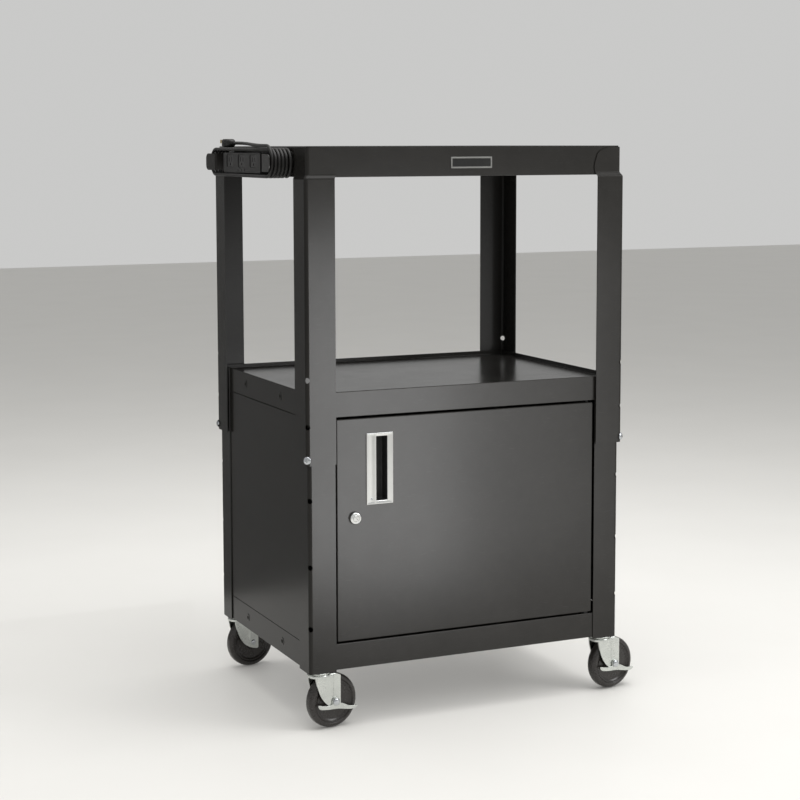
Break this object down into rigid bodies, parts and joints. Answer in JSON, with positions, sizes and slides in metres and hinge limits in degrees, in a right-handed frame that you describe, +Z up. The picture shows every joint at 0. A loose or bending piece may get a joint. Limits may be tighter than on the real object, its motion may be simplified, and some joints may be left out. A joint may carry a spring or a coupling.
{
  "type": "audio visual cart",
  "caption": "Black steel cart with shelves, a locking cabinet below, legs that slide to set the height, a side power unit with a wound cord, and swivel casters.",
  "frame": {"origin": "on the floor under the middle of the shelves", "axes": "+X to the right seen from the door, +Y to the back, +Z up"},
  "size_m": [0.706, 0.4794, 1.0284],
  "materials": {
    "black_powder_coat": "satin",
    "zinc_plate": "satin",
    "chrome_plate": "polished",
    "pull_black": "matte",
    "wheel_rubber": "matte",
    "dark_plastic": "matte",
    "cord_jacket": "matte",
    "plate_metal": "satin",
    "blade_metal": "satin"
  },
  "bodies": {
    "lower_frame": {"bottom_shelf": "black_powder_coat", "middle_shelf": "black_powder_coat", "left_panel": "black_powder_coat", "right_panel": "black_powder_coat", "back_panel": "black_powder_coat", "top_hinge_pin": "zinc_plate", "bottom_hinge_pivot": "zinc_plate", "latch_strike": "zinc_plate", "lower_leg_front_left": "black_powder_coat", "lower_leg_front_right": "black_powder_coat", "lower_leg_back_left": "black_powder_coat", "lower_leg_back_right": "black_powder_coat", "caster_stem_front_left": "zinc_plate", "caster_stem_front_right": "zinc_plate", "caster_stem_back_left": "zinc_plate", "caster_stem_back_right": "zinc_plate"},
    "upper_frame": {"top_shelf": "black_powder_coat", "nameplate": "plate_metal", "winding_bracket": "black_powder_coat", "bracket_rivet_front": "zinc_plate", "bracket_rivet_back": "zinc_plate", "power_housing": "dark_plastic", "power_faceplate": "dark_plastic", "receptacle_block": "dark_plastic", "strain_relief": "dark_plastic", "power_cord": "cord_jacket", "power_plug": "dark_plastic", "plug_blade_inner": "blade_metal", "plug_blade_outer": "blade_metal", "plug_earth_pin": "blade_metal", "upper_leg_front_left": "black_powder_coat", "upper_leg_front_right": "black_powder_coat", "upper_leg_back_left": "black_powder_coat", "upper_leg_back_right": "black_powder_coat", "height_bolt_front_left": "zinc_plate", "height_bolt_front_right": "zinc_plate", "height_bolt_back_left": "zinc_plate", "height_bolt_back_right": "zinc_plate"},
    "door": {"door_panel": "black_powder_coat", "door_stiffener": "black_powder_coat", "pull_bezel": "chrome_plate", "pull_cup": "pull_black", "lock_barrel": "chrome_plate", "lock_nut": "zinc_plate"},
    "lock_core": {"lock_cylinder": "chrome_plate", "lock_cam": "zinc_plate"},
    "swivel_front_left": {"caster_fork_front_left": "zinc_plate", "caster_axle_front_left": "zinc_plate"},
    "wheel_front_left": {"caster_wheel_front_left": "wheel_rubber"},
    "brake_front_left": {"brake_lever_front_left": "zinc_plate"},
    "swivel_front_right": {"caster_fork_front_right": "zinc_plate", "caster_axle_front_right": "zinc_plate"},
    "wheel_front_right": {"caster_wheel_front_right": "wheel_rubber"},
    "brake_front_right": {"brake_lever_front_right": "zinc_plate"},
    "swivel_back_left": {"caster_fork_back_left": "zinc_plate", "caster_axle_back_left": "zinc_plate"},
    "wheel_back_left": {"caster_wheel_back_left": "wheel_rubber"},
    "swivel_back_right": {"caster_fork_back_right": "zinc_plate", "caster_axle_back_right": "zinc_plate"},
    "wheel_back_right": {"caster_wheel_back_right": "wheel_rubber"}
  },
  "joints": [
    {"name": "height_slide", "type": "slide", "parent": "lower_frame", "child": "upper_frame", "axis": [0, 0, 1], "range_m": [-0.3556, 0.0508]},
    {"name": "door_hinge", "type": "hinge", "parent": "lower_frame", "child": "door", "pos_m": [0.246, -0.2186, 0.3514], "axis": [0, 0, 1], "range_deg": [0, 90]},
    {"name": "lock_turn", "type": "hinge", "parent": "door", "child": "lock_core", "pos_m": [-0.2204, -0.2286, 0.373], "axis": [0, 1, 0], "range_deg": [0, 90]},
    {"name": "swivel_turn_front_left", "type": "hinge", "parent": "lower_frame", "child": "swivel_front_left", "pos_m": [-0.283, -0.211, 0.1], "axis": [0, 0, 1], "continuous": true},
    {"name": "wheel_roll_front_left", "type": "hinge", "parent": "swivel_front_left", "child": "wheel_front_left", "pos_m": [-0.25838, -0.20666, 0.0485], "axis": [-0.1736, 0.9848, 0], "continuous": true},
    {"name": "brake_tip_front_left", "type": "hinge", "parent": "swivel_front_left", "child": "brake_front_left", "pos_m": [-0.25838, -0.20666, 0.0485], "axis": [0.1736, -0.9848, 0], "range_deg": [0, 20]},
    {"name": "swivel_turn_front_right", "type": "hinge", "parent": "lower_frame", "child": "swivel_front_right", "pos_m": [0.283, -0.211, 0.1], "axis": [0, 0, 1], "continuous": true},
    {"name": "wheel_roll_front_right", "type": "hinge", "parent": "swivel_front_right", "child": "wheel_front_right", "pos_m": [0.30762, -0.20666, 0.0485], "axis": [-0.1736, 0.9848, 0], "continuous": true},
    {"name": "brake_tip_front_right", "type": "hinge", "parent": "swivel_front_right", "child": "brake_front_right", "pos_m": [0.30762, -0.20666, 0.0485], "axis": [0.1736, -0.9848, 0], "range_deg": [0, 20]},
    {"name": "swivel_turn_back_left", "type": "hinge", "parent": "lower_frame", "child": "swivel_back_left", "pos_m": [-0.283, 0.211, 0.1], "axis": [0, 0, 1], "continuous": true},
    {"name": "wheel_roll_back_left", "type": "hinge", "parent": "swivel_back_left", "child": "wheel_back_left", "pos_m": [-0.25838, 0.21534, 0.0485], "axis": [-0.1736, 0.9848, 0], "continuous": true},
    {"name": "swivel_turn_back_right", "type": "hinge", "parent": "lower_frame", "child": "swivel_back_right", "pos_m": [0.283, 0.211, 0.1], "axis": [0, 0, 1], "continuous": true},
    {"name": "wheel_roll_back_right", "type": "hinge", "parent": "swivel_back_right", "child": "wheel_back_right", "pos_m": [0.30762, 0.21534, 0.0485], "axis": [-0.1736, 0.9848, 0], "continuous": true}
  ]
}
